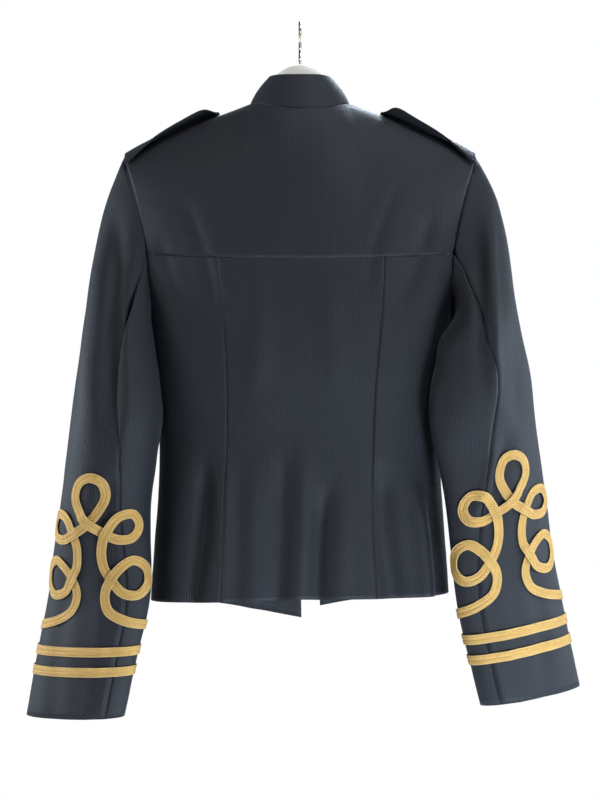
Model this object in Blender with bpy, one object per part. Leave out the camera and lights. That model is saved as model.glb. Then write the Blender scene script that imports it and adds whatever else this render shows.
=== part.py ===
"""Cropped jacket with braided cuffs, hung on a plain hanger.

Metres, +Z up. The back of the jacket faces -Y and the wearer's right is +X. The origin is the
inside top of the hanger's hook, where a rail would bear.
"""
import math

import bmesh
import bpy
import numpy as np

MM = 0.001

# Thicknesses and gaps
CLOTH = 1.8 * MM
STRAP_CLOTH = 2.6 * MM
BRAID_THICK = 1.2 * MM
BRAID_WIDTH = 10.0 * MM
SEAM_GAP = 0.3 * MM
BRAID_LIFT = 0.85 * MM
SLEEVE_CLEARANCE = 3.5 * MM

# Heights, measured down from the hook
NECK_POINT_Z = -86 * MM
SHOULDER_TIP_Z = -143 * MM
CHEST_Z = -250 * MM
UNDERARM_Z = -305 * MM
CUFF_Z = {-1: -736 * MM, 1: -714 * MM}

# Breadths and depths
NECK_HALF = 56 * MM
SHOULDER_HALF = 190 * MM
ARMHOLE_HALF = 161 * MM
RIDGE_Y = 4 * MM
BACK_NECK_Y = -50 * MM
BACK_NECK_DROP = 13 * MM
FRONT_NECK_Y = 60 * MM
FRONT_NECK_DROP = 68 * MM
SECTION_POWER = 2.6
YOKE_DIP = 8 * MM
SHOULDER_TIP_FALL = 7 * MM
SIDE_FADE = 30 * MM
BACK_HEM_Z = -609 * MM
LEFT_HEM_DROP = 9 * MM
FRONT_HEM_DIP = 31 * MM

# The fronts' edges, as x at the neck and at the hem, and the height at which they reach the latter
FRONT_EDGES = {-1: (-7 * MM, 1.5 * MM), 1: (8 * MM, 22.5 * MM)}
FRONT_EDGE_LOW_Z = -640 * MM
CENTRE_REACH = 30 * MM
NEAR_FRONT = 0.99

# The collar's top edge: its half width, its front edge, and where it stands at front, side and back
COLLAR_HALF = 35 * MM
COLLAR_BULGE = 2.5 * MM
COLLAR_FRONT_HALF = 7.5 * MM
COLLAR_SIDE_Y = 2 * MM
COLLAR_FRONT_Y = 53 * MM
COLLAR_BACK_Y = -38 * MM
COLLAR_SIDE_Z = -57.5 * MM
COLLAR_FRONT_Z = -120 * MM
COLLAR_BACK_Z = -61 * MM

# How the cloth turns over the shoulder: the angle of its end at the neck, before and behind, and
# how strongly its curve leaves the chest line and reaches the shoulder seam
BACK_TURN = math.radians(60)
FRONT_TURN = math.radians(78)
TURN_REACH = 1.65
CHEST_RISE = 1.75
OPEN_FOLD_Z = -600 * MM

# The way in which each sleeve leaves the armhole: out and down at the cap, straight down under the arm
CAP_LEAVE = {-1: (0.45, 0.0, -0.89), 1: (0.6, 0.0, -0.8)}
UNDERARM_LEAVE = {-1: (-0.05, 0.0, -1.0), 1: (0.6, 0.0, -0.8)}

# Cuff stripes, by the height of their middle above the cuff edge
STRIPE_HEIGHTS = {"lower": 49 * MM, "upper": 70 * MM}

# Grid densities
LOW_ROWS = 9
ARM_ROWS = 5
YOKE_ROWS = 7
FRONT_TOP_ROWS = 7
BACK_NECK_COLUMNS = 4
SHOULDER_COLUMNS = 5
FRONT_NECK_COLUMNS = 5
CENTRE_COLUMNS = 8
SIDE_COLUMNS = 5
CAP_ROWS = 7
ARM_TUBE_ROWS = 15

SIDES = {"left": -1, "right": 1}


def table(columns, *rows):
    """Rows of millimetres, with the first column ascending, as named columns in metres."""
    values = np.array(rows, float).T
    return {name: column * MM for name, column in zip(columns, values)}


def read(rows, column, at):
    """A smooth value of one column at a place along the table's first column."""
    places = next(iter(rows.values()))
    values = rows[column]
    slopes = np.gradient(values, places)
    at = min(max(at, places[0]), places[-1])
    index = min(int(np.searchsorted(places, at, side="right")) - 1, len(places) - 2)
    span = places[index + 1] - places[index]
    part = (at - places[index]) / span
    return float(cubic(values[index], values[index + 1], slopes[index] * span,
                       slopes[index + 1] * span, part))


def cubic(start, end, start_slope, end_slope, part):
    """Hermite curve between two values or points."""
    squared = part * part
    cubed = squared * part
    return ((2 * cubed - 3 * squared + 1) * start + (cubed - 2 * squared + part) * start_slope
            + (3 * squared - 2 * cubed) * end + (cubed - squared) * end_slope)


def unit(vector):
    return vector / np.linalg.norm(vector)


def lerp(start, end, part):
    return start + (end - start) * part


# Body sections: half the width, the depth behind and before the side seam, and the princess seams
BODY = table(
    ("z", "half_width", "back", "front", "seam_left", "seam_right"),
    (-660, 163, 88, 88, -83, 82),
    (-610, 160, 83, 84, -81, 80),
    (-550, 156, 74, 76, -79, 77),
    (-500, 152, 67, 70, -77, 76),
    (-450, 151, 64, 67, -76, 76),
    (-400, 155, 67, 68, -76, 78),
    (-350, 159, 71, 70, -77, 82),
    (-305, 164, 72, 70, -81, 86),
    (-250, 176, 70, 66, -86, 88),
    (-200, 184, 62, 60, -88, 90),
)

# Soft folds of the back: a straight run from top to bottom, its half width and its depth (ridge < 0)
BACK_FOLDS = table(
    ("top_z", "top_x", "low_z", "low_x", "width", "depth"),
    (-187, -144, -366, -87, 17, 4.0),
    (-174, 150, -383, 75, 17, 4.0),
    (-167, 86, -360, 48, 15, 1.8),
    (-479, -93, -640, -128, 15, 4.5),
    (-479, -28, -640, -44, 14, 2.5),
    (-456, 28, -640, 4, 14, 2.5),
    (-497, 90, -640, 108, 14, 4.5),
    (-445, -66, -640, -68, 13, -2.5),
    (-514, 121, -640, 134, 12, -3.5),
)
FRONT_FOLDS = table(
    ("top_z", "top_x", "low_z", "low_x", "width", "depth"),
    (-190, -140, -350, -95, 17, 3.5),
    (-190, 142, -360, 92, 17, 3.5),
    (-480, -98, -660, -120, 15, 4.0),
    (-470, 96, -660, 116, 15, 4.0),
)

# Sleeve rings: the middle, the half size across and through, the turn of the flat towards the
# outside, the tilt of the ring, and how far the seams wander round, with the angles in degrees
SLEEVE_COLUMNS = ("drop", "x", "y", "across", "through", "turn", "tilt", "roll")
SLEEVE_RINGS = {
    -1: table(
        SLEEVE_COLUMNS,
        (345, -194, -18, 38, 54, 4, 0, -4),
        (404, -194, -32, 45, 50, 14, 0, 0),
        (455, -197, -36, 49, 45, 18, -10, 10),
        (512, -205, -33, 49, 42, 20, -20, 24),
        (560, -209, -31, 56, 36, 25, -30, 33),
        (612, -212, -32, 63, 30, 28, -40, 38),
        (662, -223, -32, 62, 28, 28, -50, 41),
        (740, -238, -33, 61, 27, 28, -60, 42),
    ),
    1: table(
        SLEEVE_COLUMNS,
        (345, 190, -29, 46, 52, 12, 0, -20),
        (385, 190, -40, 58, 40, 24, 20, -30),
        (432, 192, -43, 64, 33, 28, 40, -20),
        (477, 201, -41, 61, 31, 28, 60, 0),
        (508, 206, -40, 61, 30, 28, 80, 15),
        (560, 212, -40, 61, 29, 28, 110, 32),
        (613, 220, -38, 63, 28, 28, 140, 39),
        (673, 233, -38, 62, 27, 28, 150, 42),
        (720, 244, -38, 62, 26, 28, 110, 42),
    ),
}


def material(name, colour, roughness, metallic=0.0):
    made = bpy.data.materials.new(name)
    made.use_nodes = True
    shader = made.node_tree.nodes["Principled BSDF"]
    shader.inputs["Base Color"].default_value = (*colour, 1.0)
    shader.inputs["Roughness"].default_value = roughness
    shader.inputs["Metallic"].default_value = metallic
    return made


def mesh_object(name, points, faces, surface, smooth=True):
    mesh = bpy.data.meshes.new(name)
    mesh.from_pydata([tuple(point) for point in points], [], faces)
    shape = bmesh.new()
    shape.from_mesh(mesh)
    bmesh.ops.recalc_face_normals(shape, faces=shape.faces)
    shape.to_mesh(mesh)
    shape.free()
    if smooth:
        mesh.shade_smooth()
        mesh.set_sharp_from_angle(angle=math.radians(40))
    mesh.materials.append(surface)
    made = bpy.data.objects.new(name, mesh)
    bpy.context.collection.objects.link(made)
    return made


def wall(name, outer, inner, surface, ring=False):
    """A closed wall between two grids of points; a ring joins its last column to its first."""
    rows, columns = outer.shape[:2]
    points = np.concatenate([outer.reshape(-1, 3), inner.reshape(-1, 3)])
    across = columns if ring else columns - 1
    faces = []

    def at(layer, row, column):
        return layer * rows * columns + row * columns + column % columns

    for row in range(rows - 1):
        for column in range(across):
            for layer in (0, 1):
                faces.append((at(layer, row, column), at(layer, row, column + 1),
                              at(layer, row + 1, column + 1), at(layer, row + 1, column)))
    for column in range(across):
        for row in (0, rows - 1):
            faces.append((at(0, row, column), at(0, row, column + 1),
                          at(1, row, column + 1), at(1, row, column)))
    if not ring:
        for row in range(rows - 1):
            for column in (0, columns - 1):
                faces.append((at(0, row, column), at(0, row + 1, column),
                              at(1, row + 1, column), at(1, row, column)))
    return mesh_object(name, points, faces, surface)


def drawn_back(grid, low=0.0, high=0.0, first=0.0, last=0.0):
    """Draw a grid's borders back towards its middle by the given distances."""
    moved = grid.copy()

    def pull(edge, neighbour, distance):
        step = neighbour - edge
        return edge + step / np.linalg.norm(step, axis=-1, keepdims=True) * distance

    moved[0] = pull(moved[0], grid[1], low)
    moved[-1] = pull(moved[-1], grid[-2], high)
    moved[:, 0] = pull(moved[:, 0], moved[:, 1], first)
    moved[:, -1] = pull(moved[:, -1], moved[:, -2], last)
    return moved


def sewn_wall(name, outer, inner, surface, **borders):
    return wall(name, drawn_back(outer, **borders), drawn_back(inner, **borders), surface)


# Body


def fold_offset(folds, x, z):
    """Depth of the soft folds at a place, each one fading in and out along its run."""
    total = 0.0
    for top_z, top_x, low_z, low_x, width, depth in zip(*folds.values()):
        part = (top_z - z) / (top_z - low_z)
        runs_out = low_z < OPEN_FOLD_Z
        if 0.0 < part < 1.0 or (runs_out and part > 0.0):
            fade = math.sin(0.5 * math.pi * min(part, 1.0)) if runs_out else math.sin(math.pi * part)
            away = (x - lerp(top_x, low_x, part)) / width
            total += depth * fade * math.exp(-away * away)
    return total


def section(z):
    """Right half of the body's outline at a height, and the share of the way round of each point.

    The share is 0 at the centre back, 0.5 at the side and 1 at the centre front.
    """
    angles = np.linspace(0.0, math.pi, 121)
    half = read(BODY, "half_width", z)
    depth = np.where(angles < math.pi / 2, read(BODY, "back", z), read(BODY, "front", z))
    power = 2 / SECTION_POWER
    x = half * np.abs(np.sin(angles)) ** power
    y = -depth * np.sign(np.cos(angles)) * np.abs(np.cos(angles)) ** power
    steps = np.hypot(np.diff(x), np.diff(y))
    length = np.concatenate([[0.0], np.cumsum(steps)])
    middle = length[60]
    share = np.where(length < middle, 0.5 * length / middle,
                     0.5 + 0.5 * (length - middle) / (length[-1] - middle))
    return x, y, share


def body_point(share, z):
    """A point on the body's outside; the share is negative on the wearer's left."""
    share = (share + 1.0) % 2.0 - 1.0
    x, y, shares = section(z)
    side = 1.0 if share >= 0 else -1.0
    px = side * float(np.interp(abs(share), shares, x))
    py = float(np.interp(abs(share), shares, y))
    away_from_side = min(abs(py) / SIDE_FADE, 1.0)
    if py < 0:
        py += fold_offset(BACK_FOLDS, px, z) * away_from_side
    else:
        py -= fold_offset(FRONT_FOLDS, px, z) * away_from_side
    return np.array([px, py, z])


def share_at(x, z, front=False):
    """The share at which the body's outline is at a given x, behind or in front."""
    xs, _, shares = section(z)
    half = slice(60, 121) if front else slice(0, 61)
    xs = xs[half]
    shares = shares[half]
    order = np.argsort(xs)
    found = float(np.interp(abs(x), xs[order], shares[order]))
    if front and abs(x) < CENTRE_REACH:
        reached = float(np.interp(CENTRE_REACH, xs[order], shares[order]))
        found = 1.0 - (1.0 - reached) * abs(x) / CENTRE_REACH
    return math.copysign(found, x)


def outward(point_at, first, second, step=0.002):
    """Outward normal of a surface given as a function of two values."""
    along = point_at(first + step, second) - point_at(first - step, second)
    up = point_at(first, second + step) - point_at(first, second - step)
    return unit(np.cross(along, up))


def hem_z(share):
    """The hem, a little lower on the left and dipping to the points of the fronts."""
    around = abs(share) if abs(share) <= 1 else 2 - abs(share)
    left = max(-share, 0.0) if abs(share) <= 1 else 1.0
    back = BACK_HEM_Z - LEFT_HEM_DROP * min(left / 0.5, 1.0)
    if around <= 0.5:
        return back
    return back - FRONT_HEM_DIP * ((around - 0.5) / 0.5) ** 1.5


def yoke_z(share):
    return CHEST_Z - YOKE_DIP * (1 - min(abs(share) / ARM_SHARE, 1.0) ** 2)


def level_chest_z(share):
    """The fronts' chest line, level all the way round, in the same form as yoke_z."""
    return CHEST_Z


def row_place(share, row, chest_z):
    """Height of a row: straight steps from the hem to the underarm, then along the armhole."""
    if row <= LOW_ROWS:
        return lerp(hem_z(share), UNDERARM_Z, row / LOW_ROWS)
    turn = (row - LOW_ROWS) / ARM_ROWS * math.pi / 2
    return lerp(UNDERARM_Z, chest_z(share), 1 - math.cos(turn))


def side_share(row, chest_share):
    """The side seam's share, and above the underarm the armhole's."""
    if row <= LOW_ROWS:
        return 0.5
    turn = (row - LOW_ROWS) / ARM_ROWS * math.pi / 2
    return lerp(0.5, chest_share, math.sin(turn))


def princess_share(side, row):
    column = "seam_right" if side > 0 else "seam_left"
    share = 0.3 * side
    for _ in range(3):
        z = row_place(share, row, yoke_z)
        share = share_at(read(BODY, column, z), z)
    return share


def front_edge_x(side, z):
    """The fronts hang a little to the right, with a narrow gap that widens down to the hem."""
    down = (z - NECK_POINT_Z) / (FRONT_EDGE_LOW_Z - NECK_POINT_Z)
    return lerp(*FRONT_EDGES[side], down)


def front_edge_share(side, z):
    x = front_edge_x(side, z)
    share = share_at(x, z, front=True)
    if share * side > 0:
        return share
    return share - 2 if share > 0 else share + 2


def body_grid(start_share, end_share, chest_z, columns):
    """Outer and inner points of a lower panel between two seams given as functions of the row."""
    rows = LOW_ROWS + ARM_ROWS + 1
    outer = np.zeros((rows, columns + 1, 3))
    inner = np.zeros_like(outer)
    for row in range(rows):
        start = start_share(row)
        end = end_share(row)
        for column in range(columns + 1):
            share = lerp(start, end, column / columns)
            z = row_place(share, row, chest_z)
            outer[row, column] = body_point(share, z)
            inner[row, column] = outer[row, column] - CLOTH * outward(body_point, share, z)
    return outer, inner


def back_top_line(share):
    """Neckline and shoulder seam of the back, by share from the centre to the shoulder tip."""
    neck_share = BACK_NECK_COLUMNS / (BACK_NECK_COLUMNS + SHOULDER_COLUMNS)
    if share < neck_share:
        turn = (1 - share / neck_share) * math.pi / 2
        return np.array([NECK_HALF * math.cos(turn), lerp(RIDGE_Y, BACK_NECK_Y, math.sin(turn)),
                         NECK_POINT_Z - BACK_NECK_DROP * math.sin(turn) ** 2])
    return shoulder_line((share - neck_share) / (1 - neck_share))


def front_top_line(share, edge_x):
    """Neckline and shoulder seam of a front, by share from the front edge to the shoulder tip."""
    neck_share = FRONT_NECK_COLUMNS / (FRONT_NECK_COLUMNS + SHOULDER_COLUMNS)
    if share < neck_share:
        turn = (1 - share / neck_share) * math.pi / 2
        return np.array([lerp(edge_x, NECK_HALF, math.cos(turn)),
                         lerp(RIDGE_Y, FRONT_NECK_Y, math.sin(turn)),
                         NECK_POINT_Z - FRONT_NECK_DROP * math.sin(turn)])
    return shoulder_line((share - neck_share) / (1 - neck_share))


def shoulder_line(part):
    """The shoulder seam on the hanger's ridge, falling faster at the tip."""
    fall = NECK_POINT_Z - SHOULDER_TIP_Z
    steady = (fall - SHOULDER_TIP_FALL) * part
    return np.array([lerp(NECK_HALF, SHOULDER_HALF, part), RIDGE_Y,
                     NECK_POINT_Z - steady - SHOULDER_TIP_FALL * max(part, 0.0) ** 6])


def over_shoulder(low, top, neck, height):
    """A column of cloth from the chest line up and over to the top line."""
    along_y = top[1] - low[1]
    steep = (BACK_TURN if along_y > 0 else FRONT_TURN) * neck ** 0.7
    reach = lerp(TURN_REACH * abs(along_y), np.linalg.norm(top - low), neck)
    lean = top[0] - low[0]
    start = np.array([lean, 0.0, CHEST_RISE * (top[2] - low[2])])
    end = np.array([lean * neck, math.copysign(reach * math.cos(steep), along_y), reach * math.sin(steep)])
    return cubic(low, top, start, end, height)


def yoke_point(share, height):
    place = abs(share)
    top = back_top_line(place)
    top[0] = math.copysign(top[0], share) if share else 0.0
    low_share = share * ARM_SHARE
    low = body_point(low_share, yoke_z(low_share))
    neck_share = BACK_NECK_COLUMNS / (BACK_NECK_COLUMNS + SHOULDER_COLUMNS)
    neck = max(1 - place / neck_share, 0.0)
    point = over_shoulder(low, top, neck, height)
    start_fold = fold_offset(BACK_FOLDS, low[0], low[2])
    fade = (1 - min(max(height, 0.0), 1.0)) ** 2
    point[1] += (fold_offset(BACK_FOLDS, point[0], point[2]) - start_fold) * fade
    return point


def front_top_point(side):
    """The function that gives a front's cloth above the chest line."""

    def point_at(share, height):
        edge = front_edge_share(side, CHEST_Z)
        low = body_point(lerp(edge, side * FRONT_ARM_SHARE, share), CHEST_Z)
        top = front_top_line(share, side * front_edge_x(side, NECK_POINT_Z - FRONT_NECK_DROP))
        top[0] *= side
        neck_share = FRONT_NECK_COLUMNS / (FRONT_NECK_COLUMNS + SHOULDER_COLUMNS)
        neck = max(1 - share / neck_share, 0.0)
        return over_shoulder(low, top, neck, height)

    return point_at


def top_grid(point_at, shares, rows, low_outer, low_inner, turned):
    """Points of a panel above the chest line, whose first row is a lower panel's last."""
    outer = np.zeros((rows + 1, len(shares), 3))
    inner = np.zeros_like(outer)
    for row in range(rows + 1):
        for column, share in enumerate(shares):
            height = row / rows
            outer[row, column] = point_at(share, height)
            normal = outward(point_at, share, height) * turned
            inner[row, column] = outer[row, column] - CLOTH * normal
    if low_outer is not None:
        outer[0] = low_outer
        inner[0] = low_inner
    return outer, inner


def build_body(cloth):
    """Yoke, back and fronts; returns the armhole edges for the sleeves and the necklines."""
    half = SEAM_GAP / 2
    seams = {side: (lambda row, side=side: princess_share(side, row)) for side in (-1, 1)}

    centre = body_grid(seams[-1], seams[1], yoke_z, CENTRE_COLUMNS)
    sewn_wall("back_centre", *centre, cloth, high=half, first=half, last=half)

    armholes = {}
    for label, side in SIDES.items():
        panel = body_grid(seams[side], lambda row: side * side_share(row, ARM_SHARE), yoke_z,
                          SIDE_COLUMNS)
        sewn_wall(f"back_side_{label}", *panel, cloth, high=half, first=half, last=half)
        armholes[side] = {"back_side": panel}

    count = BACK_NECK_COLUMNS + SHOULDER_COLUMNS
    shares = [column / count for column in range(-count, count + 1)]
    low_outer = np.array([body_point(s * ARM_SHARE, yoke_z(s * ARM_SHARE)) for s in shares])
    low_inner = np.array([point - CLOTH * outward(body_point, s * ARM_SHARE, point[2])
                          for s, point in zip(shares, low_outer)])
    yoke = top_grid(yoke_point, shares, YOKE_ROWS, low_outer, low_inner, 1)
    sewn_wall("back_yoke", *yoke, cloth, low=half, high=half, first=half, last=half)

    neck = {}
    for label, side in SIDES.items():
        columns = FRONT_NECK_COLUMNS + SHOULDER_COLUMNS
        low = body_grid(lambda row: front_edge_share(side, row_place(side * NEAR_FRONT, row, level_chest_z)),
                        lambda row: side * side_share(row, FRONT_ARM_SHARE), level_chest_z, columns)
        shares = [column / columns for column in range(columns + 1)]
        top = top_grid(front_top_point(side), shares, FRONT_TOP_ROWS, low[0][-1], low[1][-1], -side)
        outer = np.concatenate([low[0], top[0][1:]])
        inner = np.concatenate([low[1], top[1][1:]])
        sewn_wall(f"front_{label}", outer, inner, cloth, high=half, last=half)
        armholes[side]["front"] = (outer, inner)
        neck[side] = outer[-1, :FRONT_NECK_COLUMNS + 1]
    armholes["yoke"] = yoke
    middle = count
    neck["back"] = yoke[0][-1, middle - BACK_NECK_COLUMNS:middle + BACK_NECK_COLUMNS + 1]
    return armholes, neck


def build_collar(cloth, neck):
    """A stand collar on the neckline's own points, leaning in to its top edge."""
    base = np.concatenate([neck[-1][:-1], neck["back"], neck[1][::-1][1:]])
    rows = 3
    top = np.zeros_like(base)
    for index, point in enumerate(base):
        front = max((point[1] - RIDGE_Y) / (FRONT_NECK_Y - RIDGE_Y), 0.0)
        back = max((point[1] - RIDGE_Y) / (BACK_NECK_Y - RIDGE_Y), 0.0)
        edge = COLLAR_FRONT_HALF * front
        spread = max(abs(point[0]) - edge, 0.0) / (NECK_HALF - edge)
        x = math.copysign(edge + (COLLAR_HALF - edge) * spread, point[0])
        if front > 0:
            y = lerp(COLLAR_SIDE_Y, COLLAR_FRONT_Y, front)
            z = lerp(COLLAR_SIDE_Z, COLLAR_FRONT_Z, front)
        else:
            y = lerp(COLLAR_SIDE_Y, COLLAR_BACK_Y, back)
            z = lerp(COLLAR_SIDE_Z, COLLAR_BACK_Z, back ** 2)
        top[index] = (x, y, z)
    outer = np.array([lerp(base, top, row / rows) for row in range(rows + 1)])
    bulge = COLLAR_BULGE * np.sin(np.linspace(0, math.pi, rows + 1))
    outer[:, :, 0] += bulge[:, None] * base[:, 0] / NECK_HALF
    inner = np.zeros_like(outer)
    for row in range(rows + 1):
        for column in range(len(base)):
            before = outer[row, max(column - 1, 0)]
            after = outer[row, min(column + 1, len(base) - 1)]
            normal = unit(np.cross(after - before, top[column] - base[column]))
            inner[row, column] = outer[row, column] - CLOTH * normal
    sewn_wall("collar", outer, inner, cloth, low=SEAM_GAP)


# Sleeves


def clear_of_body(point, clearance=SLEEVE_CLEARANCE):
    """Press a sleeve's point out of the body, so that the sleeve lies against it."""
    z = point[2]
    if z > CHEST_Z or z < BODY["z"][0]:
        return point
    half = read(BODY, "half_width", z) + clearance
    depth = read(BODY, "back" if point[1] < 0 else "front", z) + clearance
    inside = (abs(point[0]) / half) ** SECTION_POWER + (abs(point[1]) / depth) ** SECTION_POWER
    if inside >= 1:
        return point
    moved = point.copy()
    moved[:2] *= inside ** (-1 / SECTION_POWER)
    return moved


def ring_points(side, z, angles):
    """Points on the sleeve's outside below the cap; angle 0 is outermost, a quarter turn behind."""
    rings = {column: read(SLEEVE_RINGS[side], column, -z) for column in SLEEVE_COLUMNS[1:]}
    turn = math.radians(rings["turn"] / MM)
    angles = angles + math.radians(rings["roll"] / MM) * np.sin(angles / 2) ** 2
    flat = np.array([side * math.cos(turn), math.sin(turn), 0.0])
    back = np.array([side * math.sin(turn), -math.cos(turn), 0.0])
    offsets = (rings["across"] * np.cos(angles)[:, None] * flat
               + rings["through"] * np.sin(angles)[:, None] * back)
    offsets[:, 2] = rings["tilt"] * side * offsets[:, 0]
    points = np.array([rings["x"], rings["y"], z]) + offsets
    return np.array([clear_of_body(point) for point in points])


def armhole_loop(armholes, side):
    """Armhole points from the shoulder tip down the back, under the arm and up the front.

    Each comes with its inner point and the way into the body's panel.
    """
    last = -1 if side > 0 else 0
    inside = -2 if side > 0 else 1
    yoke_outer, yoke_inner = armholes["yoke"]
    back_outer, back_inner = armholes[side]["back_side"]
    front_outer, front_inner = armholes[side]["front"]
    lowest = LOW_ROWS
    loop = []
    for row in range(YOKE_ROWS, 0, -1):
        loop.append((yoke_outer[row, last], yoke_inner[row, last], yoke_outer[row, inside]))
    for row in range(LOW_ROWS + ARM_ROWS, lowest, -1):
        loop.append((back_outer[row, -1], back_inner[row, -1], back_outer[row, -2]))
    loop.append((back_outer[lowest, -1], back_inner[lowest, -1], back_outer[lowest - 1, -1]))
    for row in range(lowest + 1, len(front_outer) - 1):
        loop.append((front_outer[row, -1], front_inner[row, -1], front_outer[row, -2]))
    outer = np.array([entry[0] for entry in loop])
    inner = np.array([entry[1] for entry in loop])
    into = np.array([unit(entry[2] - entry[0]) for entry in loop])
    return outer, inner, into


def ring_angles(outer):
    """Angles for the loop's points: 0 at the shoulder tip and half a turn at the underarm."""
    steps = np.linalg.norm(np.diff(np.vstack([outer, outer[:1]]), axis=0), axis=1)
    length = np.concatenate([[0.0], np.cumsum(steps)])
    under = YOKE_ROWS + ARM_ROWS
    middle = length[under]
    return np.array([math.pi * place / middle if place <= middle
                     else math.pi + math.pi * (place - middle) / (length[-1] - middle)
                     for place in length[:-1]])


def sleeve_rows(side):
    rings = SLEEVE_RINGS[side]
    top = -rings["drop"][0]
    return np.linspace(top, CUFF_Z[side], ARM_TUBE_ROWS + 1)


def build_sleeve(label, side, armholes, cloth):
    """A two-piece sleeve: the cap from the armhole to the first ring, then the tube to the cuff."""
    loop, loop_inner, into = armhole_loop(armholes, side)
    angles = ring_angles(loop)
    heights = sleeve_rows(side)
    start = loop - into * SEAM_GAP
    first = ring_points(side, heights[0], angles)
    second = ring_points(side, heights[1], angles)
    fall = np.array([unit(low - high) for high, low in zip(first, second)])
    under_arm = ((1 - np.cos(angles)) / 2)[:, None] ** 2
    leave = lerp(np.array(CAP_LEAVE[side]), np.array(UNDERARM_LEAVE[side]), under_arm) * (side, 1, 1)
    rows = [start]
    for row in range(1, CAP_ROWS):
        part = row / CAP_ROWS
        reach = np.linalg.norm(first - start, axis=1)[:, None]
        cap = cubic(start, first, leave * reach, fall * reach, part)
        clearance = SLEEVE_CLEARANCE * min(1.0, 2.5 * part)
        rows.append(np.array([clear_of_body(point, clearance) for point in cap]))
    rows.extend(ring_points(side, z, angles) for z in heights)
    outer = np.array(rows)
    around = np.roll(outer, -1, axis=1) - np.roll(outer, 1, axis=1)
    down = np.gradient(outer, axis=0)
    normal = np.cross(around, down) * side
    normal /= np.linalg.norm(normal, axis=-1, keepdims=True)
    inner = outer - CLOTH * normal
    for column in range(len(loop)):
        inward = -normal[0, column]
        inward = inward - max(float(inward @ into[column]), 0.0) * into[column]
        inner[0, column] = outer[0, column] + CLOTH * unit(inward)
    count = len(loop)
    back_seam = YOKE_ROWS
    front_seam = YOKE_ROWS + 2 * ARM_ROWS - 1
    half = SEAM_GAP / 2
    under = list(range(back_seam, front_seam + 1))
    upper = list(range(front_seam, count)) + list(range(0, back_seam + 1))
    sewn_wall(f"under_sleeve_{label}", outer[:, under], inner[:, under], cloth, first=half, last=half)
    sewn_wall(f"top_sleeve_{label}", outer[:, upper], inner[:, upper], cloth, first=half, last=half)
    return angles


def stripe_rings(side, angles, height):
    """Rows of a stripe that follow the sleeve's own columns, moved out."""
    rows = []
    for offset in (-BRAID_WIDTH / 2, BRAID_WIDTH / 2):
        z = CUFF_Z[side] + height + offset
        rows.append(ring_points(side, z, angles))
    ring = np.array(rows)
    around = np.roll(ring, -1, axis=1) - np.roll(ring, 1, axis=1)
    up = ring[1:] - ring[:-1]
    normal = -np.cross(around, np.concatenate([up, up])) * side
    normal /= np.linalg.norm(normal, axis=-1, keepdims=True)
    return ring + normal * (BRAID_LIFT + BRAID_THICK), ring + normal * BRAID_LIFT


# One half of the braid knot in the flat, from the top of its middle loop to the end of its tail:
# distances round the sleeve from the knot's middle, and heights above the upper stripe
KNOT_ANGLE = {-1: math.radians(82), 1: math.radians(84)}
KNOT_HALF = (
    (0, 182), (-12, 177), (-17, 163), (-10, 147), (1, 134), (18, 123), (33, 117), (47, 119), (54, 131),
    (47, 143), (34, 142), (20, 126), (14, 105), (16, 89), (24, 75), (37, 61), (52, 59), (63, 71),
    (60, 88), (47, 95), (34, 88), (24, 76), (17, 60), (22, 44), (40, 33), (64, 27), (95, 23), (138, 20),
)
KNOT_STEP = 5 * MM
CROSSING_FLAT = 8 * MM
CROSSING_RAMP = 5 * MM
CROSSING_LIFT = BRAID_THICK + 2 * SEAM_GAP


def smooth_path(points, step):
    """Evenly spaced points on a smooth curve through the given ones."""
    points = np.array(points, float)
    knots = np.concatenate([[0.0], np.cumsum(np.linalg.norm(np.diff(points, axis=0), axis=1))])
    slopes = np.gradient(points, knots, axis=0)
    fine = []
    for index in range(len(points) - 1):
        span = knots[index + 1] - knots[index]
        for part in np.linspace(0, 1, 12, endpoint=False):
            fine.append(cubic(points[index], points[index + 1], slopes[index] * span,
                              slopes[index + 1] * span, part))
    fine.append(points[-1])
    fine = np.array(fine)
    length = np.concatenate([[0.0], np.cumsum(np.linalg.norm(np.diff(fine, axis=0), axis=1))])
    places = np.linspace(0, length[-1], int(round(length[-1] / step)) + 1)
    return np.stack([np.interp(places, length, fine[:, axis]) for axis in (0, 1)], axis=1), places


def crossings(path, places):
    """Places along a flat path where it crosses itself, as pairs, the earlier one first."""
    found = []
    for first in range(len(path) - 1):
        for second in range(first + 2, len(path) - 1):
            a, b = path[first], path[first + 1]
            c, d = path[second], path[second + 1]
            along, across = b - a, d - c
            turn = along[0] * across[1] - along[1] * across[0]
            if abs(turn) < 1e-12:
                continue
            gap = c - a
            one = (gap[0] * across[1] - gap[1] * across[0]) / turn
            two = (gap[0] * along[1] - gap[1] * along[0]) / turn
            if 0 <= one < 1 and 0 <= two < 1:
                found.append((lerp(places[first], places[first + 1], one),
                              lerp(places[second], places[second + 1], two)))
    return found


def on_sleeve(side, distance, height):
    """A point and its normal, a given way round the sleeve from the knot's middle."""
    z = CUFF_Z[side] + STRIPE_HEIGHTS["upper"] + height
    here = ring_points(side, z, RING_SAMPLES)
    above = ring_points(side, z + 3 * MM, RING_SAMPLES)
    length = np.concatenate([[0.0], np.cumsum(np.linalg.norm(np.diff(here, axis=0), axis=1))])
    middle = float(np.interp(KNOT_ANGLE[side], RING_SAMPLES, length))

    def at(ring, place):
        return np.array([np.interp(place % length[-1], length, ring[:, axis]) for axis in range(3)])

    place = middle + distance
    point = at(here, place)
    around = at(here, place + 3 * MM) - at(here, place - 3 * MM)
    return point, unit(np.cross(at(above, place) - point, around)) * side


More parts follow.
